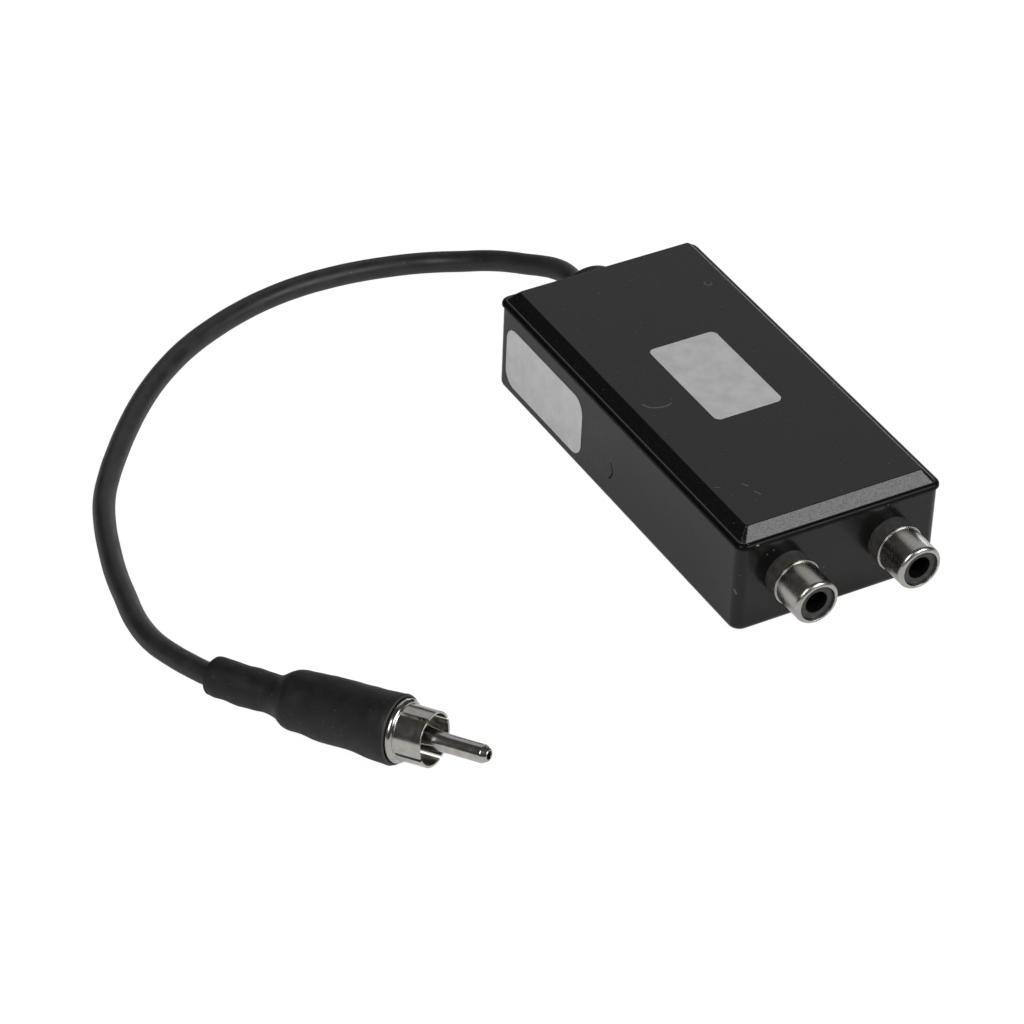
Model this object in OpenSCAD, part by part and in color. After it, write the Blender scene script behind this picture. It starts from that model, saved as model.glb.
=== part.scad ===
// Radio noise filter: a moulded case with two phono sockets at the front
// and a screened cable at the back that ends in a phono plug.
// The origin is at the middle of the case's underside. The sockets face -Y, and +Z is up.

/* [Case] */
// Width of the case across the lid's rim
case_w = 40; // [39:0.5:60]
// Length of the case along the lid's rim
case_l = 81; // [79:0.5:120]
// Height of the case with its lid
case_h = 20.4; // [19.6:0.1:30]
// Thickness of the base's walls
wall_t = 1.8; // [1.4:0.1:2.2]
// Thickness of the base's floor
floor_t = 2; // [1.6:0.1:2.4]
// Radius of the case's upright corners
corner_r = 1.9; // [1.2:0.1:3]
// Radius of the edge around the underside
foot_r = 1.4; // [0.6:0.1:1.8]
// How far the walls stand back under the lid's rim
wall_inset = 0.3; // [0.1:0.05:0.6]

/* [Lid] */
// Height of the lid above the seam
lid_h = 3.2; // [3:0.1:4]
// Height of the lid's rim above the seam, up to the crease
rim_h = 1.2; // [1:0.1:1.6]
// Inset of the crease between the rim and the bevel
rim_in = 0.9; // [0.9:0.05:1.2]
// Radius of the rim's rounded upper edge
rim_edge_r = 0.75; // [0.5:0.05:0.85]
// Inset of the flat top inside the rim
bevel_in = 2.7; // [2:0.1:4]
// Radius of the flat top's corners
top_r = 0.5; // [0.3:0.1:1]
// Thickness of the lid's flat top
lid_t = 1.8; // [1.4:0.1:2]
// Thickness of the two lips that drop into the base along its long walls
lip_t = 1.2; // [0.8:0.1:1.6]
// Depth of the lip below the seam
lip_h = 2.5; // [1.5:0.1:3]
// Gap between the lip and the base's walls
lip_gap = 0.1; // [0.05:0.05:0.3]

/* [Case screws] */
// Distance of a screw from the inside of the side wall
screw_in_x = 3.4; // [3.2:0.1:4]
// Distance of a screw from the inside of the end wall
screw_in_y = 8.4; // [8.2:0.1:10]
// Radius of the screw's thread
screw_r = 1.25; // [1:0.05:1.4]
// Length of the screw under its head
screw_len = 12; // [10:0.5:13]
// Radius of the screw's head
screw_head_r = 2.4; // [2:0.1:2.6]
// Height of the screw's head
screw_head_h = 1.6; // [1.2:0.1:1.8]
// Depth of the screw's head below the underside
screw_sink = 0.8; // [0.4:0.1:1.2]
// Radius of the posts and bosses around the screws
post_r = 2.3; // [2.1:0.1:2.5]
// Height at which the base's posts meet the lid's bosses
post_top_z = 9.4; // [8:0.1:10]

/* [Circuit board] */
// Gap between the board and the long walls
board_gap = 0.9; // [0.7:0.1:1.4]
// Gap between the board and the case screws' posts
board_end_gap = 0.7; // [0.4:0.1:0.9]
// Thickness of the board
board_t = 1.6; // [1:0.1:2]
// Height of the standoffs above the floor
standoff_h = 3; // [2.6:0.1:3.4]
// Radius of the standoffs
standoff_r = 2.2; // [2:0.1:2.4]
// Distance of a board screw from the board's long edge
board_screw_in_x = 2.8; // [2.6:0.1:3]
// Distance of a board screw from the board's short edge
board_screw_in_y = 3; // [2.8:0.1:3.1]
// Radius of the board screws' thread
board_screw_r = 1; // [0.8:0.05:1.1]
// Radius of the board screws' heads
board_head_r = 1.9; // [1.6:0.1:2]
// Height of the board screws' heads
board_head_h = 1.3; // [1:0.1:1.6]
// Radius of the components' wire legs
leg_r = 0.3; // [0.2:0.05:0.35]

/* [Choke] */
// Outer radius of the ring core
choke_out_r = 8; // [7.6:0.1:8.2]
// Inner radius of the ring core
choke_in_r = 4.6; // [4.4:0.1:5]
// Height of the ring core
choke_h = 6.4; // [5:0.1:6.8]
// Radius of the enamelled wire
choke_wire_r = 0.35; // [0.25:0.05:0.36]
// Turns in each of the two windings
choke_turns = 12; // [6:1:12]

/* [Coils and capacitors] */
// Radius of the drum coils' flanges
coil_r = 4; // [3.4:0.1:4.1]
// Radius of the drum coils' hubs
coil_hub_r = 2; // [1.4:0.1:2.4]
// Height of the drum coils
coil_h = 8; // [6:0.5:9]
// Length of the film capacitors
film_l = 10; // [9:0.5:11]
// Thickness of the film capacitors
film_t = 4.4; // [3.6:0.1:4.8]
// Height of the film capacitors
film_h = 8; // [6:0.5:9]
// Radius of the disc capacitors
disc_r = 3.2; // [3:0.1:3.6]
// Thickness of the disc capacitors
disc_t = 2.6; // [1.8:0.1:3]
// Length of the resistors' bodies
resistor_l = 6; // [5:0.5:7]
// Radius of the resistors' bodies
resistor_r = 1.15; // [0.9:0.05:1.3]

/* [Sockets] */
// Distance of a socket's middle from the side wall's outside
socket_in = 9.6; // [9.4:0.1:9.9]
// Outer radius of the socket's shell, which a plug's crown slides over
shell_r = 4.15; // [4.1:0.01:4.18]
// Length of the shell in front of its flange
shell_l = 6.4; // [5.6:0.1:8]
// Radius of the shell's rounded front edge
shell_nose_r = 0.8; // [0.4:0.1:0.8]
// Inner radius of the shell
shell_bore_r = 3.3; // [3.2:0.05:3.35]
// Radius of the shell's flange
flange_r = 4.38; // [4.3:0.01:4.6]
// Thickness of the shell's flange
flange_t = 0.4; // [0.3:0.1:0.6]
// Outer radius of the insulating bushing
bushing_r = 4.25; // [4.2:0.05:4.4]
// Length of the bushing in front of the wall
bushing_l = 2.8; // [2:0.1:4]
// Radius of the socket's threaded tail
tail_r = 3; // [2.9:0.05:3.1]
// Length of the threaded tail behind the wall
tail_l = 2.8; // [2.6:0.1:3.2]
// How far the insulator's face stands back in the shell
insulator_in = 0.55; // [0.3:0.05:1]
// Radius of the hole in the insulator's face
insulator_hole_r = 2.05; // [1.9:0.05:2.15]
// Inner radius of the contact, which a plug's pin slides into
contact_r = 1.6; // [1.58:0.01:1.62]
// Thickness of the contact's tube
contact_t = 0.25; // [0.15:0.05:0.25]
// How far the contact's mouth stands back behind the insulator's face
contact_in = 2.6; // [1:0.1:3]
// Inner length of the contact's tube
contact_l = 8.4; // [7.6:0.1:8.6]
// Distance of the contact's solder end from the inside of the wall
contact_tail_l = 7.2; // [5:0.1:7.4]
// Width of the nut across its flats
nut_w = 8; // [7.6:0.1:8.2]
// Thickness of the nut
nut_t = 2; // [1.6:0.1:2.2]
// Thickness of the earth tag
tag_t = 0.3; // [0.2:0.1:0.4]
// Distance of the earth tag's end from the middle of the wall
tag_in = 1.6; // [1.2:0.1:3]

/* [Grommet and cable] */
// Radius of the cable
cable_r = 1.95; // [1.7:0.05:2]
// Radius of the grommet's outer flange
grommet_r = 6.9; // [6.4:0.1:6.9]
// Thickness of the grommet's outer flange
grommet_l = 3.4; // [2:0.1:3.8]
// Radius of the grommet's rounded edges
grommet_edge_r = 0.6; // [0.4:0.1:1]
// Radius of the grommet's neck in the wall
grommet_neck_r = 4.95; // [4:0.05:5.2]
// Radius of the grommet's inner flange
grommet_back_r = 6.2; // [5.8:0.1:6.6]
// Thickness of the grommet's inner flange
grommet_back_t = 1.8; // [1.2:0.1:2]
// Width of the cable tie's strap
tie_w = 2.5; // [1.8:0.1:2.6]
// Thickness of the cable tie's strap
tie_t = 1.1; // [0.8:0.1:1.4]

/* [Plug] */
// Length of the sleeve
sleeve_l = 36; // [35:0.1:39]
// Radius of the sleeve's thin end
sleeve_thin_r = 3; // [2.8:0.1:3.2]
// Length of the sleeve's thin part
sleeve_thin_l = 12.6; // [11:0.1:13]
// Radius of the sleeve at its shoulder
sleeve_shoulder_r = 5.05; // [5:0.05:5.3]
// Radius of the sleeve at its lip
sleeve_lip_r = 5.85; // [5.75:0.05:6]
// Radius of the plug's barrel inside the sleeve
barrel_r = 4.3; // [4:0.05:4.4]
// Length of the plug's barrel inside the sleeve
barrel_l = 20; // [16:0.1:20]
// Radius of the bead in front of the sleeve
bead_r = 5.35; // [5:0.05:5.4]
// Length of the bead, whose edge is fully rounded
bead_l = 1.6; // [1.2:0.1:2]
// Outer radius of the crown
crown_r = 4.65; // [4.6:0.05:4.8]
// Inner radius of the crown
crown_in_r = 4.25; // [4.2:0.01:4.3]
// Length of the crown in front of the bead
crown_l = 5; // [4:0.1:6]
// Width of the crown's slots
crown_slot_w = 0.6; // [0.4:0.1:1]
// Radius of the plug's pin
pin_r = 1.55; // [1.5:0.01:1.56]
// Length of the pin in front of the crown
pin_l = 10.1; // [8:0.1:10.5]

/* [Labels] */
// Width of the label on the lid
top_label_w = 13.4; // [8:0.1:24]
// Length of the label on the lid
top_label_l = 22.8; // [12:0.1:40]
// Length of the label on the left wall
side_label_l = 26.4; // [12:0.1:34]
// Height of the label on the left wall
side_label_h = 12.1; // [6:0.1:12.4]
// Distance of the left wall's label from the back wall
side_label_back = 2.9; // [2.4:0.1:30]
// Thickness of the labels
label_t = 0.1; // [0.05:0.01:0.2]

/* [Hidden] */
$fn = 48;
// Gap around pieces that are pushed, screwed or slid together
fit_gap = 0.05;
// Thickness of the slices that a hull is drawn around
slice_t = 0.01;
// Overlap of a cut past the face that it starts from
cut = 0.5;
// Sides of the hull's round corners
hull_fn = 32;

// Walls of the case, worked out from its sizes
seam_z = case_h - lid_h;
wall_x = case_w / 2 - wall_inset;
wall_y = case_l / 2 - wall_inset;
in_x = wall_x - wall_t;
in_y = wall_y - wall_t;
in_r = max(corner_r - wall_t, 0.4);
ceiling_z = case_h - lid_t;

// Case screws: their heads sit in sinks in the underside
screw_x = in_x - screw_in_x;
screw_y = in_y - screw_in_y;
screw_seat_z = screw_sink + screw_head_h;
sink_r = screw_head_r + 0.3;
sink_wall = 0.9;
sink_roof = 1.8;
pilot_deeper = 1;
lip_y = screw_y - post_r - 1;
lip_proud = 0.1;
cavity_x = in_x - lip_gap - lip_t + lip_proud;
cavity_y = in_y - lip_gap - lip_t;
rim_foot = 0.25;
lid_corner_steps = 8;
screw_slot_w = 0.7;
screw_slot_h = 0.7;
screw_slot_rim = 0.8;

// Circuit board on its standoffs
board_w = 2 * (in_x - board_gap);
board_l = 2 * (screw_y - post_r - board_end_gap);
board_front = -board_l / 2;
board_back = board_l / 2;
board_z = floor_t + standoff_h;
board_top = board_z + board_t;
board_screw_x = board_w / 2 - board_screw_in_x;
board_screw_y = board_l / 2 - board_screw_in_y;
board_screw_low = floor_t + 0.9;
board_slot_w = 0.5;
board_slot_h = 0.6;
board_slot_rim = 0.6;
board_corner_r = 0.8;
solder_l = 1;
leg_low = board_z - solder_l;

// Places of the components on the board
coil_y = board_front + 8.2;
coil_x = max(board_w / 2 - 8.4, coil_r + disc_r + 0.4);
coil_leg_pitch = 5;
coil_flange_t = 1.2;
coil_wind_r = coil_r - 0.6;
film_x = board_w / 2 - 8.4;
film_y = board_back - 7.3;
film_leg_pitch = 7.5;
film_foot_h = 0.4;
film_foot_w = 1;
choke_pos = [0, (board_front + 12.1 + board_back - 10) / 2];
disc_ys = [coil_y + 2.5, coil_y - 2.5];
disc_leg_pitch = 5;
disc_stand = 0.8;
resistor_x = board_w / 2 - 2.6;
resistor_y = choke_pos[1];
resistor_leg_pitch = 9.6;
resistor_lift = 0.3;

// Choke winding: turns of wire around the ring core's section
choke_edge_r = 1.2;
choke_mid_r = (choke_out_r + choke_in_r) / 2;
wind_gap = 0.12;
wind_a = (choke_out_r - choke_in_r) / 2 + choke_wire_r + wind_gap;
wind_b = choke_h / 2 + choke_wire_r + wind_gap;
choke_z = board_top + wind_b + choke_wire_r + 0.02;
wind_span = 144;
wind_steps = 12;

// Sockets and cable hole: middle of the room between floor and lid, a little lower
room_mid_z = (floor_t + ceiling_z) / 2;
socket_z = room_mid_z - 0.3;
cable_z = room_mid_z - 0.1;
socket_x = wall_x - socket_in;
tag_l = socket_x - tag_in;

// Sockets: stations along Y, worked out from the front wall
front_y = -wall_y;
front_in_y = front_y + wall_t;
bushing_y = front_y - bushing_l;
nose_y = bushing_y - flange_t - shell_l;
shell_floor_y = bushing_y - flange_t - 0.4;
tail_y = front_in_y + tail_l;
bushing_bore_r = tail_r + fit_gap;
bushing_neck_r = tail_r + 0.45;
insulator_y = nose_y + insulator_in;
insulator_neck_r = tail_r - 0.95;
insulator_back_y = tail_y + 0.8;
contact_y = insulator_y + contact_in;
contact_floor_y = contact_y + contact_l;
contact_floor_t = 0.3;
contact_tail_r = 0.8;
contact_slot_w = 0.5;
tag_r = 4.6;
tag_w = 3;

// Grommet and tie: stations along Y, worked out from the back wall
back_y = wall_y;
back_in_y = back_y - wall_t;
tie_y = back_in_y - grommet_back_t;
tie_head = [4.2, tie_w, 3.4];
cable_bore_r = cable_r + fit_gap;

// Plug: where the sleeve's thin end lies, and how its axis points
plug_at = [-102.64, -13.69, 3];
plug_heading = -59.69;
plug_tilt = 7.49;
plug_dir = [cos(plug_heading) * cos(plug_tilt), sin(plug_heading) * cos(plug_tilt), sin(plug_tilt)];
barrel_s = sleeve_l - barrel_l;
barrel_in_r = barrel_r - 0.7;
collar_l = 3;
bead_s = sleeve_l - 0.5;
crown_s = bead_s + bead_l;
crown_turn = 15;
crown_slot_foot = 0.2;
crown_end_s = crown_s + crown_l;
plug_web_t = 2.2;
plug_insulator_r = 3.2;
plug_cup_l = 5;
pin_back_s = crown_s - plug_web_t - plug_cup_l;
pin_tip_r = 0.6;
pin_tip_l = 1;
pin_hole_l = 2;
pin_collar_l = 1.6;
pin_neck_r = pin_r - 0.15;
pin_collar_r = pin_r + 0.5;
core_wire_r = 0.6;

// Middle line of the cable, from its end inside the case to the plug's sleeve
cable_route = [
    [0, back_y - 9.2, cable_z], [0, back_y - 3.2, cable_z], [0, back_y + grommet_l, cable_z],
    [0.2, 47.5, 10.5], [0.4, 51.2, 10.5], [-0.3, 54.4, 10], [-1.4, 57.2, 9.2], [-2.6, 60, 8.2],
    [-3.9, 63.2, 7.1], [-5.2, 66.3, 5.9], [-7, 69.3, 4.7], [-9.3, 72, 3.6], [-12.6, 74.9, 2.7],
    [-16.5, 77.1, 2.2], [-21, 78.6, 2], [-26.6, 79.7, 2], [-32.6, 80.3, 2], [-38.8, 80.3, 2],
    [-45.3, 79.5, 2], [-52.1, 77.8, 2], [-59, 75.2, 2], [-65.1, 72.2, 2], [-70.5, 68.7, 2],
    [-75.6, 64.7, 2], [-80.5, 60.1, 2], [-85.3, 54.9, 2], [-90, 49.2, 2], [-94.2, 43.6, 2],
    [-97.5, 38.4, 2], [-100.3, 32.3, 2], [-102.8, 25.1, 2], [-104.7, 18.4, 2], [-106, 11.9, 2],
    [-106.9, 7.1, 2.1], [-107.2, 2.7, 2.2], [-106.9, -1.2, 2.3], [-106, -5, 2.5], [-104.8, -8.9, 2.8]
];
cable_sides = 8;
cable_end_s = barrel_s + collar_l;
cable_path = concat(cable_route, [for (s = [0, 7, 14, cable_end_s]) plug_at + plug_dir * s]);
cable_in_y = cable_route[0][1];

// Hook-up wires inside the case
wire_r = 0.5;
wire_hole_r = 0.85;
wire_sides = 8;
wire_in = 2.4;
signal_hole = [socket_x - 1.5, board_front + wire_in];
earth_hole = [3, board_front + wire_in];
core_hole = [2.2, board_back - wire_in];
screen_hole = [-2.2, board_back - wire_in];
wire_low = board_z - 0.6;

// Places and corner radii of the labels
top_label_x = 0.25;
top_label_y = 0.75;
top_label_r = 1.2;
side_label_y = wall_y - side_label_back - side_label_l / 2;
side_label_z = seam_z / 2 - 0.1;
side_label_r = 3;

// A rectangle with round corners, as squares and circles
module round_plate(w, l, r) {
    square([w - 2 * r, l], center = true);
    square([w, l - 2 * r], center = true);
    for (x = [-1, 1], y = [-1, 1]) translate([x * (w / 2 - r), y * (l / 2 - r)]) circle(r);
}

// A thin slice of the case's outline, set in from the rim
module slice(inset, z, r) {
    translate([0, 0, z]) linear_extrude(slice_t)
        round_plate(case_w - 2 * inset, case_l - 2 * inset, r, $fn = hull_fn);
}

// The four corners of a rectangle
module at_corners(x, y) {
    for (i = [-1, 1], j = [-1, 1]) translate([i * x, j * y, 0]) children();
}

// Both sides of the middle plane
module at_sides(x, y) {
    for (i = [-1, 1]) translate([i * x, y, 0]) children();
}

// A cylinder or ring along +Y from y0 to y1
module along_y(y0, y1, r) {
    translate([0, y0, 0]) rotate([-90, 0, 0]) cylinder(h = y1 - y0, r = r);
}

// The place of a socket: -1 is the left one, and 1 the right one
module at_socket(side) {
    translate([side * socket_x, 0, socket_z]) children();
}

// The place and direction of the plug, with the sleeve's thin end at 0
module at_plug() {
    translate(plug_at) rotate([0, 90 - plug_tilt, plug_heading]) children();
}

// A round tube swept along points
function unit(v) = v / norm(v);
function heading(p, i) = unit(p[min(i + 1, len(p) - 1)] - p[max(i - 1, 0)]);
function square_to(n, t) = unit(n - (n * t) * t);
function carried(p, n0) = [
    for (i = 0, n = square_to(n0, heading(p, 0)); i < len(p); i = i + 1,
        n = square_to(n, heading(p, min(i, len(p) - 1)))) n
];
function ring_points(p, r, sides, n0) = let (ns = carried(p, n0)) [
    for (i = [0 : len(p) - 1]) let (t = heading(p, i), n = ns[i], b = cross(t, n))
        for (k = [0 : sides - 1]) p[i] + r * (cos(360 * k / sides) * n + sin(360 * k / sides) * b)
];
function ring_faces(rings, sides) = concat(
    [[for (k = [0 : sides - 1]) k]],
    [[for (k = [sides - 1 : -1 : 0]) (rings - 1) * sides + k]],
    [for (i = [0 : rings - 2], k = [0 : sides - 1]) let (m = (k + 1) % sides)
        [i * sides + k, (i + 1) * sides + k, (i + 1) * sides + m, i * sides + m]]
);
module swept_tube(p, r, sides, n0) {
    polyhedron(points = ring_points(p, r, sides, n0), faces = ring_faces(len(p), sides));
}

module base_shell() {
    color([0.24, 0.24, 0.24]) difference() {
        union() {
            difference() {
                hull() {
                    for (a = [0 : 15 : 90])
                        slice(wall_inset + foot_r * (1 - sin(a)), foot_r * (1 - cos(a)), corner_r);
                    slice(wall_inset, seam_z - slice_t, corner_r);
                }
                translate([0, 0, floor_t]) linear_extrude(seam_z)
                    round_plate(2 * in_x, 2 * in_y, in_r);
            }
            at_corners(screw_x, screw_y) {
                translate([0, 0, floor_t - cut]) cylinder(h = post_top_z - floor_t + cut, r = post_r);
                translate([0, 0, floor_t - cut])
                    cylinder(h = screw_seat_z + sink_roof - floor_t + cut, r = sink_r + sink_wall);
            }
            at_corners(board_screw_x, board_screw_y)
                translate([0, 0, floor_t - cut]) cylinder(h = standoff_h + cut, r = standoff_r);
        }
        at_corners(screw_x, screw_y) {
            translate([0, 0, -cut]) cylinder(h = screw_seat_z + cut, r = sink_r);
            cylinder(h = post_top_z + cut, r = screw_r + 0.2);
        }
        at_corners(board_screw_x, board_screw_y)
            translate([0, 0, board_screw_low - 0.4]) cylinder(h = board_z, r = board_screw_r + fit_gap);
        for (side = [-1, 1]) at_socket(side)
            along_y(front_y - cut, front_in_y + cut, bushing_neck_r + fit_gap);
        translate([0, 0, cable_z]) along_y(back_in_y - cut, back_y + cut, grommet_neck_r + fit_gap);
    }
}

module lid() {
    color([0.2, 0.2, 0.2]) difference() {
        union() {
            difference() {
                lid_outside();
                translate([0, 0, seam_z - cut]) linear_extrude(ceiling_z - seam_z + cut)
                    round_plate(2 * cavity_x, 2 * cavity_y, in_r);
            }
            for (x = [-in_x + lip_gap, in_x - lip_gap - lip_t]) translate([x, -lip_y, seam_z - lip_h])
                cube([lip_t, 2 * lip_y, ceiling_z - seam_z + lip_h + cut]);
            at_corners(screw_x, screw_y)
                translate([0, 0, post_top_z]) cylinder(h = ceiling_z - post_top_z + cut, r = post_r);
        }
        at_corners(screw_x, screw_y) translate([0, 0, post_top_z - cut])
            cylinder(h = screw_seat_z + screw_len + pilot_deeper - post_top_z + cut, r = screw_r + fit_gap);
        translate([0, 0, cable_z]) along_y(tie_y, case_l, grommet_r + fit_gap);
    }
}

// The lid's rim and its bevelled top, as rings of points around the case
function lid_ring(inset, z, r) = [
    for (q = [0 : 3], k = [0 : lid_corner_steps]) let (
        a = 90 * (q + k / lid_corner_steps),
        x = (q == 0 || q == 3 ? 1 : -1) * (case_w / 2 - inset - r),
        y = (q < 2 ? 1 : -1) * (case_l / 2 - inset - r))
            [x + r * cos(a), y + r * sin(a), z]
];
lid_rings = concat(
    [lid_ring(rim_foot, seam_z, corner_r), lid_ring(0, seam_z + rim_foot, corner_r)],
    [for (a = [0 : 18 : 90]) let (inset = rim_edge_r * (1 - cos(a)))
        lid_ring(inset, seam_z + rim_h - rim_edge_r * (1 - sin(a)), corner_r - inset)],
    [lid_ring(rim_in, seam_z + rim_h, corner_r - rim_in), lid_ring(bevel_in, case_h, top_r)]
);
module lid_outside() {
    polyhedron(points = [for (ring = lid_rings) each ring], faces = ring_faces(len(lid_rings), len(lid_rings[0])));
}

module lid_screws() {
    color([0.6, 0.6, 0.62]) at_corners(screw_x, screw_y) difference() {
        union() {
            translate([0, 0, screw_sink]) cylinder(h = screw_head_h, r = screw_head_r);
            translate([0, 0, screw_seat_z]) cylinder(h = screw_len, r = screw_r);
        }
        for (turn = [0, 90]) rotate([0, 0, turn]) translate([0, 0, screw_sink])
            cube([2 * (screw_head_r - screw_slot_rim), screw_slot_w, 2 * screw_slot_h], center = true);
    }
}

module circuit_board() {
    color([0.16, 0.36, 0.2]) difference() {
        translate([0, 0, board_z]) linear_extrude(board_t) round_plate(board_w, board_l, board_corner_r);
        translate([0, 0, board_z - cut]) {
            at_corners(board_screw_x, board_screw_y) cylinder(h = board_t + 2 * cut, r = board_screw_r + 0.2);
            for (hole = [signal_hole, earth_hole], side = [-1, 1]) translate([side * hole[0], hole[1], 0])
                cylinder(h = board_t + 2 * cut, r = wire_hole_r);
            for (hole = [core_hole, screen_hole]) translate(hole)
                cylinder(h = board_t + 2 * cut, r = wire_hole_r);
            leg_places() cylinder(h = board_t + 2 * cut, r = leg_r + 0.15);
            choke_leg_places() cylinder(h = board_t + 2 * cut, r = choke_wire_r + 0.25);
        }
    }
}

// The places of the components' legs in the board
module leg_places() {
    for (side = [-1, 1]) {
        at_sides(coil_leg_pitch / 2, 0) translate([side * coil_x, coil_y, 0]) children();
        at_sides(film_leg_pitch / 2, 0) translate([side * film_x, film_y, 0]) children();
        for (end = [-1, 1]) translate([side * resistor_x, resistor_y + end * resistor_leg_pitch / 2, 0]) children();
    }
    for (y = disc_ys) at_sides(disc_leg_pitch / 2, y) children();
}

// The places of the choke's four wire ends in the board
module choke_leg_places() {
    for (half = [0, 180], end = [0, 1])
        translate(choke_pos) rotate([0, 0, half + wind_start + end * wind_span])
            translate([wind_leg_r, 0, 0]) children();
}

module board_screws() {
    color([0.75, 0.75, 0.75]) at_corners(board_screw_x, board_screw_y) difference() {
        union() {
            translate([0, 0, board_top]) cylinder(h = board_head_h, r = board_head_r);
            translate([0, 0, board_screw_low]) cylinder(h = board_top - board_screw_low, r = board_screw_r);
        }
        for (turn = [0, 90]) rotate([0, 0, turn]) translate([0, 0, board_top + board_head_h])
            cube([2 * (board_head_r - board_slot_rim), board_slot_w, 2 * board_slot_h], center = true);
    }
}

module choke_core() {
    color([0.18, 0.2, 0.19]) translate([choke_pos[0], choke_pos[1], choke_z]) rotate_extrude($fn = 64)
        translate([choke_mid_r, 0])
            round_plate(choke_out_r - choke_in_r, choke_h, choke_edge_r);
}

// One winding: a leg up from the board, the turns, and a leg down
wind_start = (180 - wind_span) / 2;
wind_leg_r = choke_mid_r + wind_a;
function turn_point(a) = let (
    u = a * choke_turns * 360 / wind_span - 90,
    c = sign(cos(u)) * sqrt(abs(cos(u))),
    s = sign(sin(u)) * sqrt(abs(sin(u))),
    r = choke_mid_r + wind_a * c)
    [r * cos(a + wind_start), r * sin(a + wind_start), wind_b * s];
function leg_point(a, z) = [wind_leg_r * cos(a + wind_start), wind_leg_r * sin(a + wind_start), z];
wind_count = choke_turns * wind_steps;
wind_path = concat(
    [leg_point(0, leg_low - choke_z), leg_point(0, board_top - choke_z - 0.2)],
    [for (i = [2 : wind_count - 2]) turn_point(i * wind_span / wind_count)],
    [leg_point(wind_span, board_top - choke_z - 0.2), leg_point(wind_span, leg_low - choke_z)]
);
module choke_windings() {
    color([0.7, 0.35, 0.15]) for (half = [0, 180]) translate([choke_pos[0], choke_pos[1], choke_z])
        rotate([0, 0, half]) swept_tube(wind_path, choke_wire_r, 6, [1, 0, 0]);
}

module coil_cores() {
    color([0.2, 0.2, 0.2]) at_sides(coil_x, coil_y) {
        translate([0, 0, board_top]) {
            cylinder(h = coil_flange_t, r = coil_r);
            cylinder(h = coil_h, r = coil_hub_r);
            translate([0, 0, coil_h - coil_flange_t]) cylinder(h = coil_flange_t, r = coil_r);
        }
        at_sides(coil_leg_pitch / 2, 0)
            translate([0, 0, leg_low]) cylinder(h = board_top - leg_low + coil_flange_t / 2, r = leg_r);
    }
}

module coil_windings() {
    color([0.7, 0.35, 0.15]) at_sides(coil_x, coil_y) translate([0, 0, board_top + coil_flange_t])
        difference() {
            cylinder(h = coil_h - 2 * coil_flange_t, r = coil_wind_r);
            translate([0, 0, -cut]) cylinder(h = coil_h, r = coil_hub_r);
        }
}

module film_capacitors() {
    color([0.75, 0.2, 0.15]) at_sides(film_x, film_y) {
        translate([-film_l / 2, -film_t / 2, board_top + film_foot_h]) cube([film_l, film_t, film_h]);
        for (x = [-film_l / 2, film_l / 2 - film_foot_w]) translate([x, -film_t / 2, board_top])
            cube([film_foot_w, film_t, film_foot_h + cut]);
        at_sides(film_leg_pitch / 2, 0)
            translate([0, 0, leg_low]) cylinder(h = board_top - leg_low + film_foot_h + cut, r = leg_r);
    }
}

module disc_capacitors() {
    color([0.75, 0.5, 0.2]) for (y = disc_ys) {
        translate([0, 0, board_top + disc_stand + disc_r]) along_y(y - disc_t / 2, y + disc_t / 2, disc_r);
        at_sides(disc_leg_pitch / 2, y)
            translate([0, 0, leg_low]) cylinder(h = board_top + disc_stand + disc_r - leg_low, r = leg_r);
    }
}

module resistors() {
    mid_z = board_top + resistor_lift + resistor_r;
    color([0.75, 0.65, 0.5]) at_sides(resistor_x, resistor_y) {
        translate([0, 0, mid_z]) {
            along_y(-resistor_l / 2, resistor_l / 2, resistor_r);
            along_y(-resistor_leg_pitch / 2, resistor_leg_pitch / 2, leg_r);
        }
        for (end = [-1, 1]) translate([0, end * resistor_leg_pitch / 2, leg_low])
            cylinder(h = mid_z - leg_low, r = leg_r);
    }
}

module socket_bushing(side) {
    color([0.1, 0.09, 0.09]) at_socket(side) difference() {
        union() {
            along_y(bushing_y, front_y, bushing_r);
            along_y(front_y - cut, front_in_y - 0.2, bushing_neck_r);
        }
        along_y(bushing_y - cut, front_in_y + cut, bushing_bore_r);
    }
}

module socket_shell(side) {
    color([0.8, 0.8, 0.78]) at_socket(side) difference() {
        union() {
            translate([0, bushing_y, 0]) rotate([90, 0, 0]) rotate_extrude() intersection() {
                shell_outline();
                square([flange_r, shell_l + flange_t]);
            }
            along_y(bushing_y - flange_t, bushing_y, flange_r);
            along_y(bushing_y - cut, tail_y, tail_r);
        }
        along_y(nose_y - cut, shell_floor_y, shell_bore_r);
        along_y(nose_y, tail_y + cut, insulator_neck_r + fit_gap);
    }
}

// Half of the shell's outline, with its rounded front edge at the top
module shell_outline() {
    h = shell_l + flange_t;
    square([shell_r, h - shell_nose_r]);
    square([shell_r - shell_nose_r, h]);
    translate([shell_r - shell_nose_r, h - shell_nose_r]) circle(shell_nose_r);
}

module socket_insulator(side) {
    color([0.16, 0.16, 0.17]) at_socket(side) difference() {
        union() {
            along_y(insulator_y, shell_floor_y, shell_bore_r - fit_gap);
            along_y(insulator_y, insulator_back_y, insulator_neck_r);
        }
        along_y(insulator_y - cut, contact_floor_y + contact_floor_t, insulator_hole_r);
        along_y(insulator_y, insulator_back_y + cut, contact_tail_r + fit_gap);
    }
}

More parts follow.
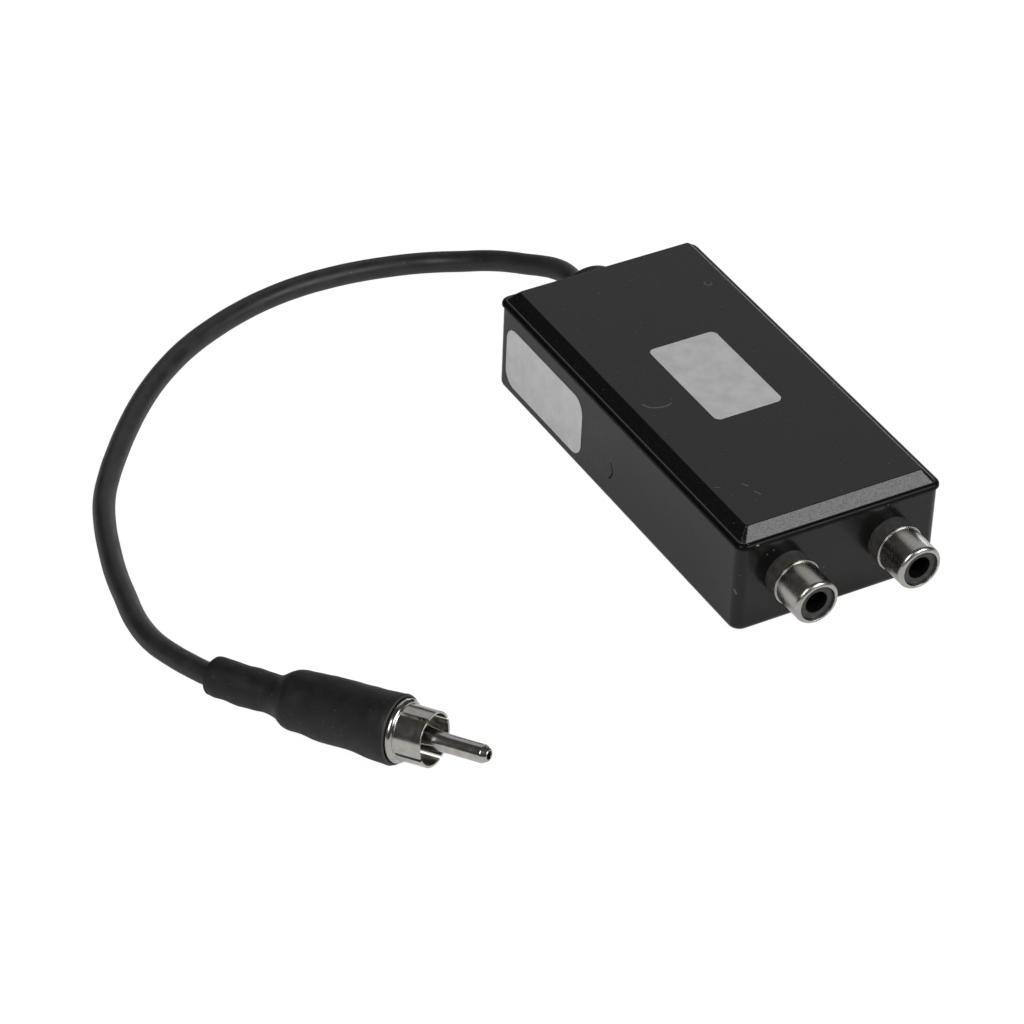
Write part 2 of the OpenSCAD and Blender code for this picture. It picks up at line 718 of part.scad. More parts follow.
module socket_contact(side) {
    color([0.78, 0.74, 0.6]) at_socket(side) {
        difference() {
            along_y(contact_y, contact_floor_y + contact_floor_t, contact_r + contact_t);
            along_y(contact_y - cut, contact_floor_y, contact_r);
            translate([-contact_slot_w / 2, contact_y - cut, 0])
                cube([contact_slot_w, contact_l - 2, contact_r + 2 * contact_t]);
        }
        along_y(contact_floor_y, front_in_y + contact_tail_l, contact_tail_r);
    }
}

module socket_tag(side) {
    color([0.8, 0.78, 0.7]) at_socket(side) difference() {
        union() {
            along_y(front_in_y, front_in_y + tag_t, tag_r);
            translate([side > 0 ? -tag_l : 0, front_in_y, -tag_w / 2]) cube([tag_l, tag_t, tag_w]);
        }
        along_y(front_in_y - cut, front_in_y + tag_t + cut, tail_r + fit_gap);
    }
}

module socket_nut(side) {
    color([0.75, 0.75, 0.73]) at_socket(side) difference() {
        translate([0, front_in_y + tag_t, 0]) rotate([-90, 0, 0]) rotate([0, 0, 30])
            cylinder(h = nut_t, r = nut_w / sqrt(3), $fn = 6);
        along_y(front_in_y, front_in_y + tag_t + nut_t + cut, tail_r + fit_gap);
    }
}

// Wires from the contacts' ends and the earth tags to the board
signal_y = front_in_y + contact_tail_l;
earth_y = front_in_y + tag_t;
earth_x = tag_in + 1.2;
wire_enter_z = board_top + 1.2;
wire_top_z = board_top + 0.2;
module signal_wires() {
    color([0.8, 0.15, 0.1]) for (side = [-1, 1]) swept_tube([
        [side * socket_x, signal_y, socket_z],
        [side * socket_x, signal_y + 1.6, socket_z],
        [side * (socket_x - 0.3), signal_y + 3, socket_z - 0.5],
        [side * (signal_hole[0] + 0.4), signal_hole[1] - 2, board_top + 2],
        [side * signal_hole[0], signal_hole[1] - 0.4, wire_enter_z],
        [side * signal_hole[0], signal_hole[1], wire_top_z],
        [side * signal_hole[0], signal_hole[1], wire_low]
    ], wire_r, wire_sides, [1, 0, 0]);
}

module earth_wires() {
    color([0.1, 0.1, 0.1]) for (side = [-1, 1]) swept_tube([
        [side * earth_x, earth_y, socket_z],
        [side * earth_x, earth_y + 1.4, socket_z],
        [side * earth_x, earth_y + 4, socket_z - 1.2],
        [side * earth_hole[0], earth_hole[1] - 3.6, board_top + 1.8],
        [side * earth_hole[0], earth_hole[1] - 0.6, wire_enter_z],
        [side * earth_hole[0], earth_hole[1], wire_top_z],
        [side * earth_hole[0], earth_hole[1], wire_low]
    ], wire_r, wire_sides, [1, 0, 0]);
}

// A wire from the cable's end in the case to a hole in the board
module cable_tail(x, hole, r) {
    swept_tube([
        [x, cable_in_y, cable_z],
        [x, cable_in_y - 1.6, cable_z],
        [(x + hole[0]) / 2, (cable_in_y + hole[1]) / 2, cable_z - 1.2],
        [hole[0], hole[1] + 0.6, wire_enter_z],
        [hole[0], hole[1], wire_top_z],
        [hole[0], hole[1], wire_low]
    ], r, wire_sides, [1, 0, 0]);
}

module cable_core_wire() {
    color([0.85, 0.85, 0.8]) cable_tail(0.7, core_hole, wire_r);
}

module cable_screen_wire() {
    color([0.7, 0.45, 0.25]) cable_tail(-0.8, screen_hole, wire_r + 0.15);
}

module cable_tie() {
    color([0.85, 0.85, 0.82]) translate([0, 0, cable_z]) difference() {
        union() {
            along_y(tie_y - tie_w, tie_y, cable_bore_r + tie_t);
            translate([-tie_head[0] / 2, tie_y - tie_w, 0]) cube([tie_head[0], tie_w, cable_bore_r + tie_head[2]]);
        }
        along_y(tie_y - tie_w - cut, tie_y + cut, cable_bore_r);
    }
}

module cable_grommet() {
    color([0.09, 0.09, 0.09]) translate([0, back_y, cable_z]) rotate([-90, 0, 0]) rotate_extrude() difference() {
        union() {
            square([grommet_r, grommet_l - grommet_edge_r]);
            square([grommet_r - grommet_edge_r, grommet_l]);
            translate([grommet_r - grommet_edge_r, grommet_l - grommet_edge_r]) circle(grommet_edge_r);
            translate([0, -wall_t - cut]) square([grommet_neck_r, wall_t + 2 * cut]);
            translate([0, -wall_t - grommet_back_t]) square([grommet_back_r, grommet_back_t]);
        }
        translate([-cut, -wall_t - grommet_back_t - cut])
            square([cable_bore_r + cut, wall_t + grommet_back_t + grommet_l + 2 * cut]);
        translate([-grommet_r, -grommet_l]) square([grommet_r, 3 * grommet_l]);
    }
}

module cable() {
    color([0.06, 0.06, 0.06]) swept_tube(cable_path, cable_r, cable_sides, [0, 0, 1]);
}

// Outline of the sleeve: radius and station along the plug's axis
sleeve_neck_r = sleeve_thin_r + 0.35;
sleeve_outline = [
    [sleeve_thin_r - 0.5, 0], [sleeve_thin_r - 0.1, 0.4], [sleeve_thin_r, 1],
    [sleeve_neck_r, sleeve_thin_l - 4], [sleeve_neck_r, sleeve_thin_l],
    [sleeve_neck_r + 0.7, sleeve_thin_l + 0.9], [sleeve_shoulder_r - 0.4, sleeve_thin_l + 1.8],
    [sleeve_shoulder_r - 0.1, sleeve_thin_l + 2.7], [sleeve_shoulder_r, sleeve_thin_l + 3.6],
    [sleeve_lip_r, sleeve_l - 0.4], [sleeve_lip_r - 0.1, sleeve_l]
];
module plug_sleeve() {
    color([0.1, 0.1, 0.1]) at_plug() difference() {
        rotate_extrude() polygon(concat([[0, 0]], sleeve_outline, [[0, sleeve_l]]));
        translate([0, 0, -cut]) cylinder(h = sleeve_l, r = cable_bore_r);
        translate([0, 0, barrel_s]) cylinder(h = barrel_l + cut, r = barrel_r + fit_gap);
        translate([0, 0, bead_s - fit_gap]) cylinder(h = bead_l, r = bead_r + fit_gap);
    }
}

module plug_body() {
    color([0.8, 0.8, 0.78]) at_plug() difference() {
        union() {
            translate([0, 0, barrel_s]) cylinder(h = crown_s - barrel_s, r = barrel_r);
            translate([0, 0, bead_s]) rotate_extrude() {
                square([bead_r - bead_l / 2, bead_l]);
                translate([bead_r - bead_l / 2, bead_l / 2]) circle(bead_l / 2);
            }
            translate([0, 0, crown_s - cut]) cylinder(h = crown_l + cut, r = crown_r);
        }
        translate([0, 0, barrel_s - cut]) cylinder(h = collar_l + 2 * cut, r = cable_bore_r);
        translate([0, 0, barrel_s + collar_l])
            cylinder(h = crown_s - plug_web_t - barrel_s - collar_l, r = barrel_in_r);
        translate([0, 0, crown_s - plug_web_t - cut]) cylinder(h = plug_web_t + cut, r = plug_insulator_r);
        translate([0, 0, crown_s - slice_t]) cylinder(h = crown_l + cut, r = crown_in_r);
        translate([0, 0, crown_s + crown_slot_foot]) for (turn = [0, 90]) rotate([0, 0, turn + crown_turn])
            translate([-2 * crown_r, -crown_slot_w / 2, 0]) cube([4 * crown_r, crown_slot_w, crown_l + cut]);
    }
}

module plug_insulator() {
    color([0.75, 0.72, 0.65]) at_plug() difference() {
        translate([0, 0, crown_s - plug_web_t]) cylinder(h = plug_web_t, r = plug_insulator_r - fit_gap);
        translate([0, 0, crown_s - plug_web_t - cut]) cylinder(h = plug_web_t + 2 * cut, r = pin_neck_r + fit_gap);
    }
}

module plug_pin() {
    tip_s = crown_end_s + pin_l;
    color([0.8, 0.8, 0.78]) at_plug() rotate_extrude() polygon([
        [0, pin_back_s], [pin_neck_r, pin_back_s], [pin_neck_r, crown_s], [pin_collar_r, crown_s],
        [pin_collar_r, crown_s + 0.4], [pin_r, crown_s + pin_collar_l],
        [pin_r, tip_s - pin_tip_l], [pin_r - 0.3, tip_s - 0.45], [pin_tip_r + 0.25, tip_s],
        [pin_tip_r, tip_s - 0.1], [pin_tip_r, tip_s - pin_hole_l], [0, tip_s - pin_hole_l]
    ]);
}

module plug_core_wire() {
    color([0.85, 0.85, 0.8]) at_plug() translate([0, 0, cable_end_s])
        cylinder(h = pin_back_s - cable_end_s, r = core_wire_r);
}

module top_label() {
    color([0.68, 0.68, 0.67]) translate([top_label_x, top_label_y, case_h]) linear_extrude(label_t)
        round_plate(top_label_w, top_label_l, top_label_r);
}

module side_label() {
    color([0.3, 0.3, 0.3]) translate([-wall_x, side_label_y, side_label_z]) rotate([0, -90, 0]) linear_extrude(label_t)
        round_plate(side_label_h, side_label_l, side_label_r);
}

base_shell();
lid();
lid_screws();
circuit_board();
board_screws();
choke_core();
choke_windings();
coil_cores();
coil_windings();
film_capacitors();
disc_capacitors();
resistors();
socket_bushing(-1);  // left_socket_bushing
socket_bushing(1);  // right_socket_bushing
socket_shell(-1);  // left_socket_shell
socket_shell(1);  // right_socket_shell
socket_insulator(-1);  // left_socket_insulator
socket_insulator(1);  // right_socket_insulator
socket_contact(-1);  // left_socket_contact
socket_contact(1);  // right_socket_contact
socket_tag(-1);  // left_socket_tag
socket_tag(1);  // right_socket_tag
socket_nut(-1);  // left_socket_nut
socket_nut(1);  // right_socket_nut
signal_wires();
earth_wires();
cable_core_wire();
cable_screen_wire();
cable_tie();
cable_grommet();
cable();
plug_sleeve();
plug_body();
plug_insulator();
plug_pin();
plug_core_wire();
top_label();
side_label();
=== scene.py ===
import math

import bmesh
import bpy
from mathutils import Matrix, Vector, noise


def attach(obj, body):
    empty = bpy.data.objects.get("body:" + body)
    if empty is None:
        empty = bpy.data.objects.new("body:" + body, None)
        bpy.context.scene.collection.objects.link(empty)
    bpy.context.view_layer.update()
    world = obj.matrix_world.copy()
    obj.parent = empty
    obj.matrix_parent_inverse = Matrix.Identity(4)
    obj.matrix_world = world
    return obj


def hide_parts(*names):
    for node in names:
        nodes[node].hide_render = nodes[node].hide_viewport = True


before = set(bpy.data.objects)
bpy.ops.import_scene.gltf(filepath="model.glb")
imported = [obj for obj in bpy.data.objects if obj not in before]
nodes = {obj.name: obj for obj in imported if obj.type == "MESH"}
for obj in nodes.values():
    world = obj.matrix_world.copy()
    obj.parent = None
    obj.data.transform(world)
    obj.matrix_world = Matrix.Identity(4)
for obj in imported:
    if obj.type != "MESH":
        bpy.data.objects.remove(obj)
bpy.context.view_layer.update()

mm = 0.001

# View: a long lens, looking down on the sockets' end from the left, as the picture was taken.
# The case lies a little turned in the frame, because the camera is rolled by two degrees.
view_azimuth = math.radians(-30.75)
view_elevation = math.radians(37.28)
view_roll = math.radians(2.31)
view_distance = 756.59 * mm
view_target = Vector((-42.68, -5.36, 10)) * mm
lens_mm = 158.70

towards = Vector((
    math.sin(view_azimuth) * math.cos(view_elevation),
    -math.cos(view_azimuth) * math.cos(view_elevation),
    math.sin(view_elevation),
))
level = Vector((math.cos(view_azimuth), math.sin(view_azimuth), 0))
upright = towards.cross(level)
right = math.cos(view_roll) * level + math.sin(view_roll) * upright
up = math.cos(view_roll) * upright - math.sin(view_roll) * level
camera = bpy.data.objects.new("camera", bpy.data.cameras.new("camera"))
camera.data.lens = lens_mm
camera.data.sensor_width = 36
camera.data.clip_start = 0.05
camera.matrix_world = Matrix.Translation(view_target + towards * view_distance) @ Matrix(
    (right, up, towards)
).transposed().to_4x4()
bpy.context.scene.collection.objects.link(camera)
bpy.context.scene.camera = camera
bpy.context.scene.view_settings.view_transform = "Standard"


# Cable: a screened audio lead with a soft black jacket, 3.9 mm thick. It leaves the case through
# the grommet, drops to the table, lies there in one wide bend and rises again into the plug.
class Wire:
    """A socket of a finish. Sums on it add Math nodes."""

    def __init__(self, finish, socket):
        self.finish = finish
        self.socket = socket

    def sum(self, operation, *values):
        return self.finish.add("ShaderNodeMath", {"operation": operation}, dict(enumerate(values)))

    def __add__(self, other):
        return self.sum("ADD", self, other)

    __radd__ = __add__

    def __mul__(self, other):
        return self.sum("MULTIPLY", self, other)

    __rmul__ = __mul__

    def __sub__(self, other):
        return self.sum("SUBTRACT", self, other)

    def __rsub__(self, other):
        return self.sum("SUBTRACT", other, self)

    def __abs__(self):
        return self.sum("ABSOLUTE", self)

    def step(self, low, high, a=0.0, b=1.0):
        """Goes smoothly from a to b as this goes from low to high."""
        return self.finish.add(
            "ShaderNodeMapRange",
            {"interpolation_type": "SMOOTHSTEP"},
            {0: self, 1: low, 2: high, 3: a, 4: b},
        )


class Finish:
    """A material with one Principled shader, whose even values are set when it is made."""

    def __init__(self, name, **even):
        self.material = bpy.data.materials.new(name)
        self.material.use_nodes = True
        self.tree = self.material.node_tree
        self.shader = self.tree.nodes["Principled BSDF"]
        for socket, value in even.items():
            self.set(socket.replace("_", " "), value)

    def plug(self, socket, value):
        if isinstance(value, Wire):
            self.tree.links.new(value.socket, socket)
        else:
            socket.default_value = value

    def set(self, socket, value):
        self.plug(self.shader.inputs[socket], value)

    def add(self, kind, settings, sockets, out=0):
        node = self.tree.nodes.new(kind)
        for name, value in settings.items():
            setattr(node, name, value)
        for key, value in sockets.items():
            self.plug(node.inputs[key], value)
        return Wire(self, node.outputs[out])

    def places(self):
        return self.add("ShaderNodeTexCoord", {}, {}, out="Object")

    def vector(self, operation, *values, out=0):
        return self.add("ShaderNodeVectorMath", {"operation": operation}, dict(enumerate(values)), out)

    def noise(self, scale, detail=2.0, rough=0.5):
        """Noise whose features repeat scale times in a metre."""
        return self.add(
            "ShaderNodeTexNoise",
            {},
            {"Vector": self.places(), "Scale": scale, "Detail": detail, "Roughness": rough},
        )

    def rings(self, axis, scale):
        """Turning marks around an axis, about scale of them in a metre."""
        along = self.vector("DOT_PRODUCT", self.places(), axis, out=1)
        return self.add(
            "ShaderNodeTexNoise", {"noise_dimensions": "1D"}, {"W": along, "Scale": scale, "Detail": 3}
        )

    def dust(self, scale, size, share):
        """One on scattered specks of dust, which are size cells wide, and nought between them."""
        cells = self.add("ShaderNodeTexVoronoi", {}, {"Vector": self.places(), "Scale": scale})
        color = Wire(self, cells.socket.node.outputs["Color"])
        chosen = self.add("ShaderNodeSeparateColor", {}, {0: color})
        return cells.step(size * 0.5, size, 1, 0) * chosen.step(1 - share, 1.01 - share)

    def line(self, path, width):
        """One on a fine line through the points of a path in mm, and nought off it."""
        full_share = 0.3
        total = 0
        for a, b in zip(path, path[1:]):
            start, run = Vector(a) * mm, (Vector(b) - Vector(a)) * mm
            off = self.vector("SUBTRACT", self.places(), start)
            along = self.vector("DOT_PRODUCT", off, run / run.length_squared, out=1)
            share = self.add("ShaderNodeClamp", {}, {0: along})
            foot = self.add("ShaderNodeVectorMath", {"operation": "SCALE"}, {0: run, 3: share})
            far = self.vector("DISTANCE", off, foot, out=1)
            total = total + far.step(width * full_share * mm, width * mm, 1, 0)
        return total

    def blend(self, amount, a, b):
        return self.add(
            "ShaderNodeMix", {"data_type": "RGBA"}, {"Factor": amount, 6: a, 7: b}, out=2
        )

    def bump(self, height, depth):
        self.set("Normal", self.add(
            "ShaderNodeBump", {}, {"Strength": 1.0, "Distance": depth, "Height": height}
        ))


def grey(value, warmth=0.0):
    return (value * (1 + warmth), value, value * (1 - warmth), 1)


plug_at = Vector((-102.64, -13.69, 3))
plug_heading = math.radians(-59.69)
plug_tilt = math.radians(7.49)
plug_axis = Vector((
    math.cos(plug_heading) * math.cos(plug_tilt),
    math.sin(plug_heading) * math.cos(plug_tilt),
    math.sin(plug_tilt),
))
cable_r = 1.95
cable_route = [
    (0, 31, 10.2), (0, 37, 10.2), (0, 43.6, 10.2), (0.2, 47.5, 10.5), (0.4, 51.2, 10.5),
    (-0.3, 54.4, 10), (-1.4, 57.2, 9.2), (-2.6, 60, 8.2), (-3.9, 63.2, 7.1), (-5.2, 66.3, 5.9),
    (-7, 69.3, 4.7), (-9.3, 72, 3.6), (-12.6, 74.9, 2.7), (-16.5, 77.1, 2.2), (-21, 78.6, 2),
    (-26.6, 79.7, 2), (-32.6, 80.3, 2), (-38.8, 80.3, 2), (-45.3, 79.5, 2), (-52.1, 77.8, 2),
    (-59, 75.2, 2), (-65.1, 72.2, 2), (-70.5, 68.7, 2), (-75.6, 64.7, 2), (-80.5, 60.1, 2),
    (-85.3, 54.9, 2), (-90, 49.2, 2), (-94.2, 43.6, 2), (-97.5, 38.4, 2), (-100.3, 32.3, 2),
    (-102.8, 25.1, 2), (-104.7, 18.4, 2), (-106, 11.9, 2), (-106.9, 7.1, 2.1), (-107.2, 2.7, 2.2),
    (-106.9, -1.2, 2.3), (-106, -5, 2.5), (-104.8, -8.9, 2.8),
]
cable_in_plug = [0, 7, 14, 19]
cable_points = [Vector(p) for p in cable_route] + [plug_at + plug_axis * s for s in cable_in_plug]

jacket = Finish("jacket", Specular_IOR_Level=0.5, IOR=1.5)
jacket_wear = jacket.noise(260, 4)
jacket_scuffs = jacket.noise(1400, 5, 0.7).step(0.62, 0.72)
jacket_dust = jacket.dust(900, 0.16, 0.12)
jacket_scratch = (
    jacket.line([(-106.6, -4.2, 4.2), (-106, -5.6, 4.35), (-105.2, -6.3, 4.5)], 0.12)
    + jacket.line([(-105.4, -7.9, 4.55), (-104.7, -8.6, 4.7)], 0.12)
)
jacket_tone = jacket.blend(jacket_wear.step(0.35, 0.7), grey(0.019), grey(0.03, 0.02))
jacket_worn = jacket_scuffs * 0.35 + jacket_dust * 0.8 + jacket_scratch
jacket.set("Base Color", jacket.blend(jacket_worn, jacket_tone, grey(0.12)))
jacket.set("Roughness", jacket_wear.step(0.3, 0.8, 0.4, 0.52) + jacket_scuffs * 0.15)
jacket.bump(jacket.noise(2600, 3), 0.00002)

line = bpy.data.curves.new("cable_jacket", "CURVE")
line.dimensions = "3D"
line.bevel_depth = cable_r * mm
line.bevel_resolution = 8
line.resolution_u = 6
line.use_fill_caps = True
spline = line.splines.new("BEZIER")
spline.bezier_points.add(len(cable_points) - 1)
for knot, point in zip(spline.bezier_points, cable_points):
    knot.co = point * mm
    knot.handle_left_type = "AUTO"
    knot.handle_right_type = "AUTO"
cable = bpy.data.objects.new("cable_jacket", line)
bpy.context.scene.collection.objects.link(cable)
line.materials.append(jacket.material)
cable_length = sum((b - a).length for a, b in zip(cable_points, cable_points[1:]))
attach(cable, "root")
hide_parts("cable")


# Plug sleeve: black heat-shrink tube, drawn down over the plug's barrel and the cable. It is
# lumpy over the solder inside, and its front end curls in behind the bead.
def place(bm, name, finish, replaced):
    """Makes the mesh a piece that rides on the object and stands for the node named.

    Each corner's normal is the mean by area of the faces there that turn by less than 41 degrees, so
    that curved faces look smooth and large flat ones stay flat.
    """
    least_cosine = 0.75
    mesh = bpy.data.meshes.new(name)
    bm.to_mesh(mesh)
    bm.free()
    faces_at = [[] for _ in mesh.vertices]
    for face in mesh.polygons:
        face.use_smooth = True
        for corner in face.vertices:
            faces_at[corner].append(face)
    normals = []
    for face in mesh.polygons:
        for corner in face.vertices:
            near = [other for other in faces_at[corner] if other.normal.dot(face.normal) > least_cosine]
            normals.append(sum((other.normal * other.area for other in near), Vector()).normalized())
    mesh.normals_split_custom_set(normals)
    piece = bpy.data.objects.new(name, mesh)
    bpy.context.scene.collection.objects.link(piece)
    mesh.materials.append(finish.material)
    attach(piece, "root")
    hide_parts(replaced)
    return piece


def turned(outline, steps):
    """Turns a closed outline of radii and heights in mm around the z axis."""
    bm = bmesh.new()
    corners = [bm.verts.new((r * mm, 0, s * mm)) for r, s in outline]
    loop = [bm.edges.new(pair) for pair in zip(corners, corners[1:] + corners[:1])]
    bmesh.ops.spin(
        bm, geom=corners + loop, cent=(0, 0, 0), axis=(0, 0, 1), dvec=(0, 0, 0), angle=math.tau,
        steps=steps, use_merge=True, use_normal_flip=False, use_duplicate=False,
    )
    bmesh.ops.recalc_face_normals(bm, faces=bm.faces)
    return bm


def curved(points, steps):
    """More points, on a smooth curve through the ones given."""
    points = [Vector(p) for p in points]
    ends = [2 * points[0] - points[1]] + points + [2 * points[-1] - points[-2]]
    curve = []
    for a, b, c, d in zip(ends, ends[1:], ends[2:], ends[3:]):
        for i in range(steps):
            t = i / steps
            square = 2 * a - 5 * b + 4 * c - d
            cube = 3 * b - a - 3 * c + d
            curve.append(0.5 * (2 * b + (c - a) * t + square * t * t + cube * t ** 3))
    return curve + [points[-1]]


plug_place = Matrix.Translation(plug_at * mm) @ plug_axis.to_track_quat("Z", "Y").to_matrix().to_4x4()
sleeve_outside = curved([
    (2.3, -0.2), (2.9, -0.1), (3.2, 0.3), (3.35, 1.1), (3.4, 3), (3.42, 7), (3.35, 10), (3.3, 11.8),
    (3.42, 12.8), (3.8, 13.8), (4.4, 14.8), (4.85, 15.7), (5.08, 16.8), (5.14, 18.4), (5.2, 20),
    (5.42, 25), (5.62, 30), (5.8, 33.6), (5.86, 35.2), (5.8, 35.75), (5.68, 35.97),
], 4)
plug_bore_r = 4.32
cable_bore_r = 1.97
sleeve_inside = [
    (5.5, 35.98), (5.42, 35.9), (5.4, 35.46), (plug_bore_r, 35.4), (plug_bore_r, 16.2),
    (cable_bore_r, 15.6), (cable_bore_r, 0),
]
sleeve_segments = 96
lumps_from = 0.3
lumps_to = 35.3
lump_size, lump_scale = 0.34, 0.17
ripple_size, ripple_scale = 0.12, 0.42
table_gap = 0.02
bm = turned([tuple(p) for p in sleeve_outside] + sleeve_inside, sleeve_segments)
for vert in bm.verts:
    radius = vert.co.xy.length / mm
    height = vert.co.z / mm
    is_outside = min(abs(radius - bore) for bore in (plug_bore_r, cable_bore_r)) > 0.01
    if is_outside and lumps_from < height < lumps_to:
        lump = lump_size * noise.noise(vert.co / mm * lump_scale)
        ripple = ripple_size * noise.noise(vert.co / mm * ripple_scale)
        vert.co.xy *= 1 + (lump + ripple) / radius
bmesh.ops.transform(bm, matrix=plug_place, verts=bm.verts)
for vert in bm.verts:
    vert.co.z = max(vert.co.z, table_gap * mm)

shrink = Finish("shrink", IOR=1.5)
shrink_wear = shrink.noise(420, 4)
shrink_dust = shrink.dust(1300, 0.16, 0.3)
shrink_tone = shrink.blend(shrink_wear.step(0.3, 0.7), grey(0.006), grey(0.010))
shrink_along = shrink.vector("DOT_PRODUCT", shrink.places(), plug_axis, out=1)
shrink_length = shrink_along - plug_at.dot(plug_axis) * mm
# The sleeve's mouth is lightened as a painted highlight.
lip_from = 35.65
lip_to = 35.85
painted_lip_highlight = shrink_length.step(lip_from * mm, lip_to * mm) * 0.35
shrink.set("Base Color", shrink.blend(shrink_dust * 0.7 + painted_lip_highlight, shrink_tone, grey(0.14)))
shrink.set("Roughness", shrink_wear.step(0.3, 0.75, 0.5, 0.64))
shrink.bump(shrink.noise(2200, 4, 0.6), 0.00003)
sleeve = place(bm, "heat_shrink", shrink, "plug_sleeve")


# Plug: a turned and nickel-plated body with a bead, and a thin crown with four slots. A nylon ring
# holds the plated pin, which has a dark hole at its tip. Fine turning marks run around both. The
# cable's tie inside the case is nylon too.
def eased(name, width, is_outer):
    """A merged copy of a node's mesh, with the sharp edges that is_outer picks rounded."""
    merge_distance = 0.0005 * mm
    flat_turn = math.radians(0.5)
    sharp_turn = 0.5
    bm = bmesh.new()
    bm.from_mesh(nodes[name].data)
    bmesh.ops.remove_doubles(bm, verts=bm.verts, dist=merge_distance)
    bmesh.ops.dissolve_limit(bm, angle_limit=flat_turn, verts=bm.verts, edges=bm.edges)
    sharp = [
        edge for edge in bm.edges
        if edge.is_manifold
        and edge.calc_face_angle() > sharp_turn
        and all(is_outer(v.co / mm) for v in edge.verts)
    ]
    bmesh.ops.bevel(
        bm, geom=sharp, offset=width * mm, offset_type="OFFSET", segments=3, profile=0.5,
        affect="EDGES", clamp_overlap=False, material=-1,
    )
    return bm


def dress(name, finish):
    nodes[name].data.materials.clear()
    nodes[name].data.materials.append(finish.material)


def plating(name, axis, rough):
    """Bright nickel plating, a little stained, with turning marks around an axis."""
    nickel = Finish(name, Metallic=1.0)
    stain = nickel.noise(700, 4, 0.6)
    marks = nickel.rings(axis, 9000)
    tone = nickel.blend(stain.step(0.3, 0.7), (0.5, 0.48, 0.45, 1), (0.61, 0.59, 0.555, 1))
    tarnish = nickel.noise(2600, 5, 0.7).step(0.6, 0.72) * 0.2
    nickel.set("Base Color", nickel.blend(tarnish, tone, (0.2, 0.185, 0.16, 1)))
    nickel.set("Roughness", stain.step(0.3, 0.75, rough, rough + 0.07) + marks * 0.08)
    nickel.bump(marks, 0.000004)
    return nickel


plug_nickel = plating("plug_nickel", plug_axis, 0.11)
body_edge_r = 0.07
eased_body = eased("plug_body", body_edge_r, lambda at: True)
body = place(eased_body, "plug_body_plated", plug_nickel, "plug_body")
pin_segments = 48
pin_back = [(0.05, 29.9), (1.55, 29.9), (1.55, 37.15)]
pin_shank = curved([(2.2, 37.2), (2.2, 38.6), (2.08, 40), (1.82, 41.8), (1.63, 43.6), (1.55, 45.6)], 3)
pin_tip = [
    (1.55, 51.1), (1.5, 51.3), (1.05, 52.1), (0.9, 52.2), (0.75, 52.15), (0.7, 52.05), (0.7, 50.2),
    (0.05, 50.1),
]
bm = turned(pin_back + [tuple(p) for p in pin_shank] + pin_tip, pin_segments)
bmesh.ops.transform(bm, matrix=plug_place, verts=bm.verts)
pin = place(bm, "plug_pin_plated", plug_nickel, "plug_pin")

nylon = Finish("nylon", Roughness=0.5)
nylon.set("Base Color", nylon.blend(nylon.noise(500, 2), (0.42, 0.4, 0.35, 1), (0.5, 0.48, 0.43, 1)))
dress("plug_insulator", nylon)
dress("cable_tie", nylon)
cable_length * mm

# Lid: moulded in black plastic, with a coarse spark-eroded grain on its top and bevels, and a smooth
# black rim. Screws from the underside hold it. Dust lies on it, with a curved scratch near the label,
# a short hooked one at the back and three hairs in front.
lid_finish = Finish("lid_finish", IOR=1.5)
grain = lid_finish.noise(3400, 2, 0.6)
lid_dust = lid_finish.dust(1000, 0.12, 0.16)
lid_top = 20.4
lid_crease = 18.4
case_edge_r = 0.12
lid_scratch = [(-15.2, -1), (-14.6, -2.2), (-13.1, -3), (-11.6, -3.1), (-10.7, -2.8)]
lid_hook = [(13.2, 25.8), (13.1, 24.9), (13.8, 24.5), (14.4, 25)]
lid_hairs = (
    ([(-11.9, -27.6), (-11.3, -28.6)], 1),
    ([(-11.1, -30.3), (-10.6, -31.4)], 1),
    ([(-16.4, -26.4), (-15.7, -26.9)], 0.6),
)
lid_marks = (
    lid_finish.line(curved([(*at, lid_top) for at in lid_scratch], 2), 0.13)
    + lid_finish.line(curved([(*at, lid_top) for at in lid_hook], 2), 0.13) * 0.6
)
for hair, strength in lid_hairs:
    lid_marks = lid_marks + lid_finish.line([(*at, lid_top) for at in hair], 0.12) * strength
lid_tone = lid_finish.blend(grain.step(0.3, 0.7), grey(0.0035), grey(0.0068))
height = lid_finish.vector("DOT_PRODUCT", lid_finish.places(), (0, 0, 1), out=1)
leftward = lid_finish.vector("DOT_PRODUCT", lid_finish.places(), (-1, 0, 0), out=1)
# Along the left side, the crease above the rim is lightened as a painted highlight, mixed in with the
# dust and marks.
on_crease = abs(height - lid_crease * mm).step(0.02 * mm, 0.07 * mm, 1, 0)
painted_crease_highlight = on_crease * leftward.step(17.5 * mm, 19 * mm, 0, 0.35)
lid_wear_and_crease_highlight = lid_dust * 0.7 + lid_marks * 0.8 + painted_crease_highlight
lid_finish.set("Base Color", lid_finish.blend(lid_wear_and_crease_highlight, lid_tone, grey(0.2)))
lid_finish.set("Roughness", grain.step(0.35, 0.65, 0.11, 0.33) + lid_marks * 0.3)
lid_finish.bump(grain, 0.000018)
eased_lid = eased("lid", case_edge_r, lambda at: at.z > lid_top - 0.1)
lid = place(eased_lid, "lid_moulding", lid_finish, "lid")

rim_finish = Finish("rim_finish", IOR=1.22)
rim_tone = rim_finish.noise(600, 4)
